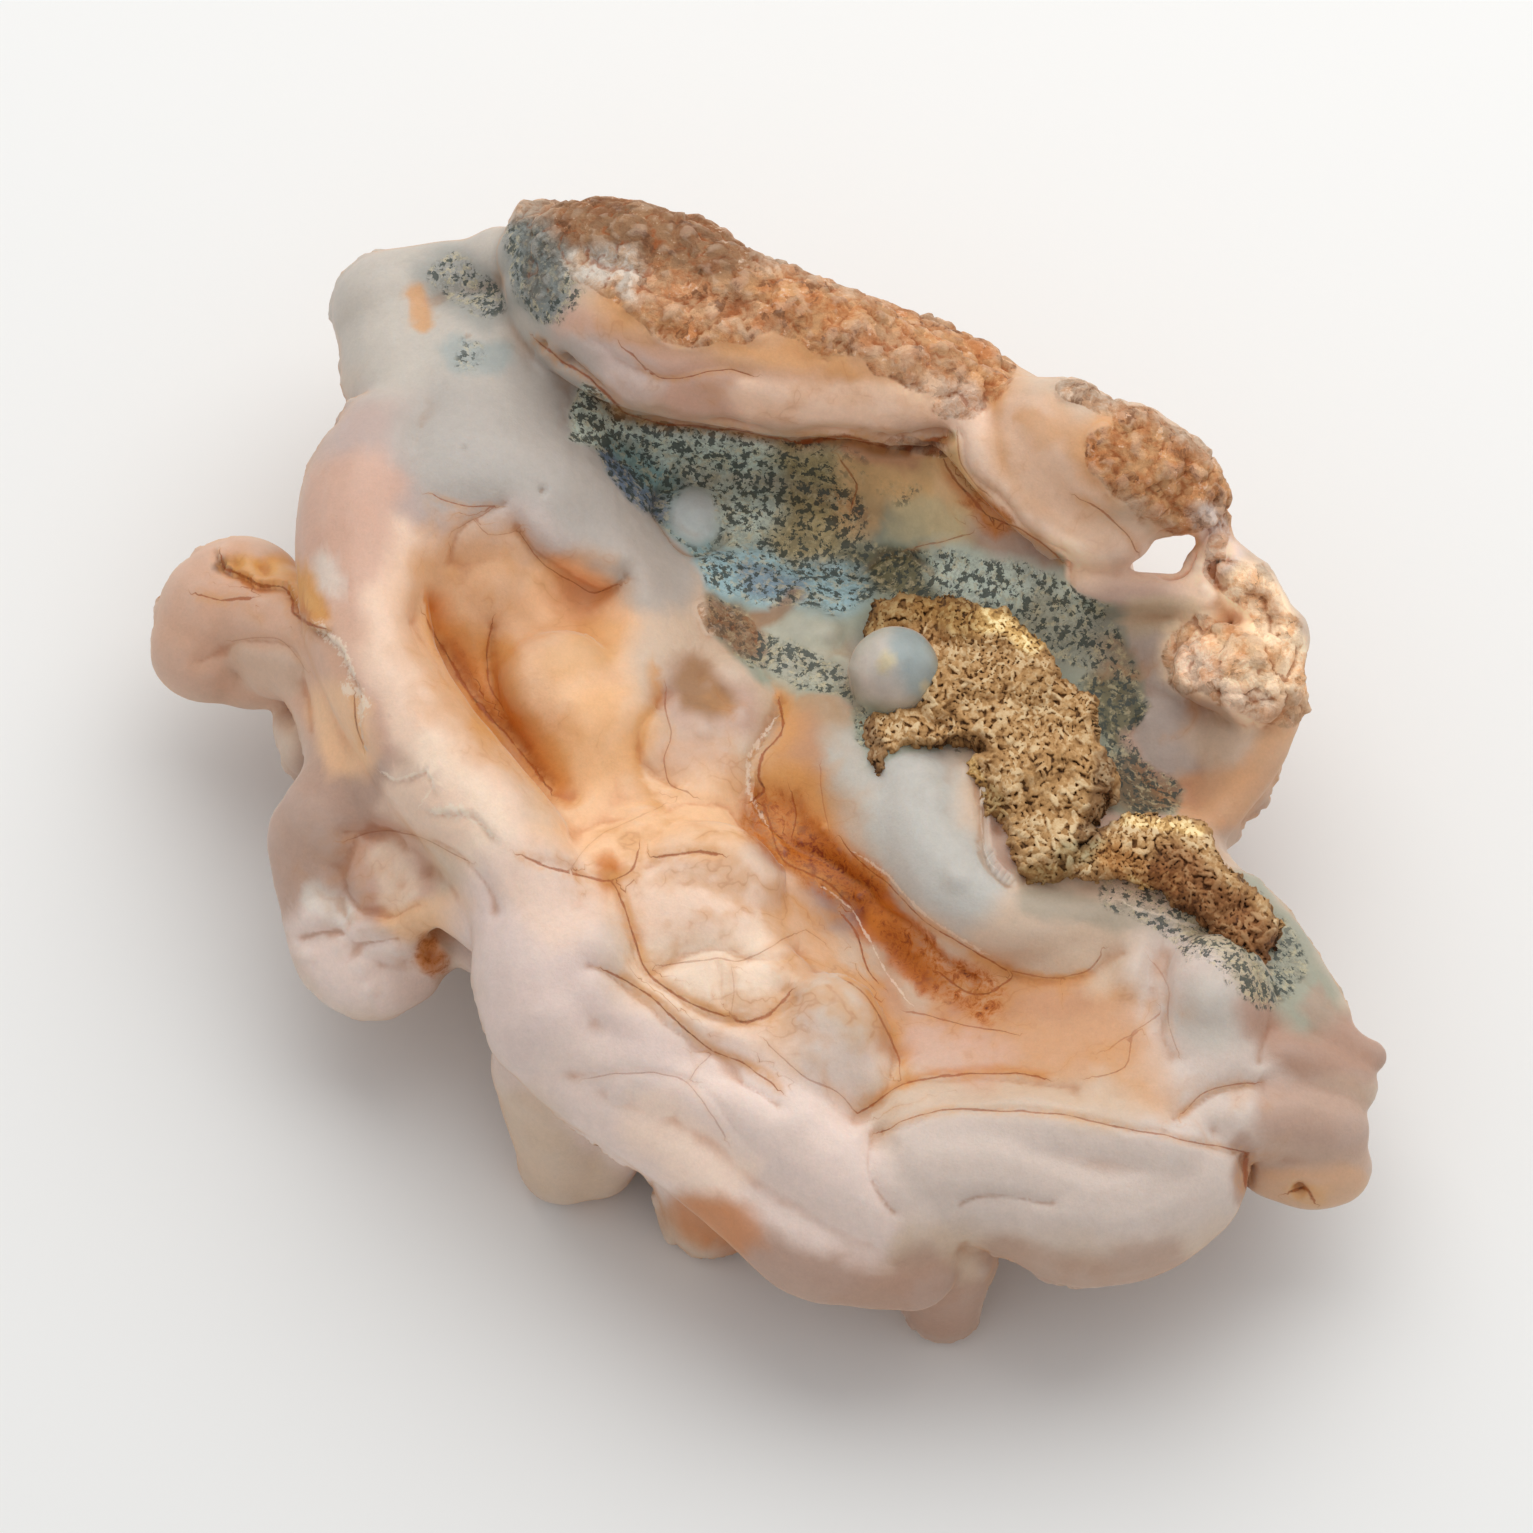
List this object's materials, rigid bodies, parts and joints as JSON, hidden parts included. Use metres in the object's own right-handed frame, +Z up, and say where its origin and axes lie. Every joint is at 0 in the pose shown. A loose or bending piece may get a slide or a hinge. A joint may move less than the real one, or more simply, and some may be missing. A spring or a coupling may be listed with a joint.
{
  "type": "botryoidal chalcedony specimen",
  "caption": "Irregular plate of waxy, lobed chalcedony with a hollow face, rolled rims, hanging lobes for feet and a sandy remnant of host rock, for display on a table.",
  "frame": {"origin": "middle of the footprint's bounding box, at the level of the table that the stone rests on", "axes": "+X to the right of someone facing the front rolls, +Y away to the high ridge at the back, +Z up out of the hollow face"},
  "size_m": [0.1233, 0.1173, 0.0452],
  "materials": {
    "chalcedony": "waxy, slightly see-through, pink-beige to bluish white with orange-brown stains",
    "matrix_crust": "dull, sandy and fibrous, golden brown"
  },
  "bodies": {
    "root": {"chalcedony": "chalcedony", "matrix_crust": "matrix_crust"}
  },
  "joints": []
}
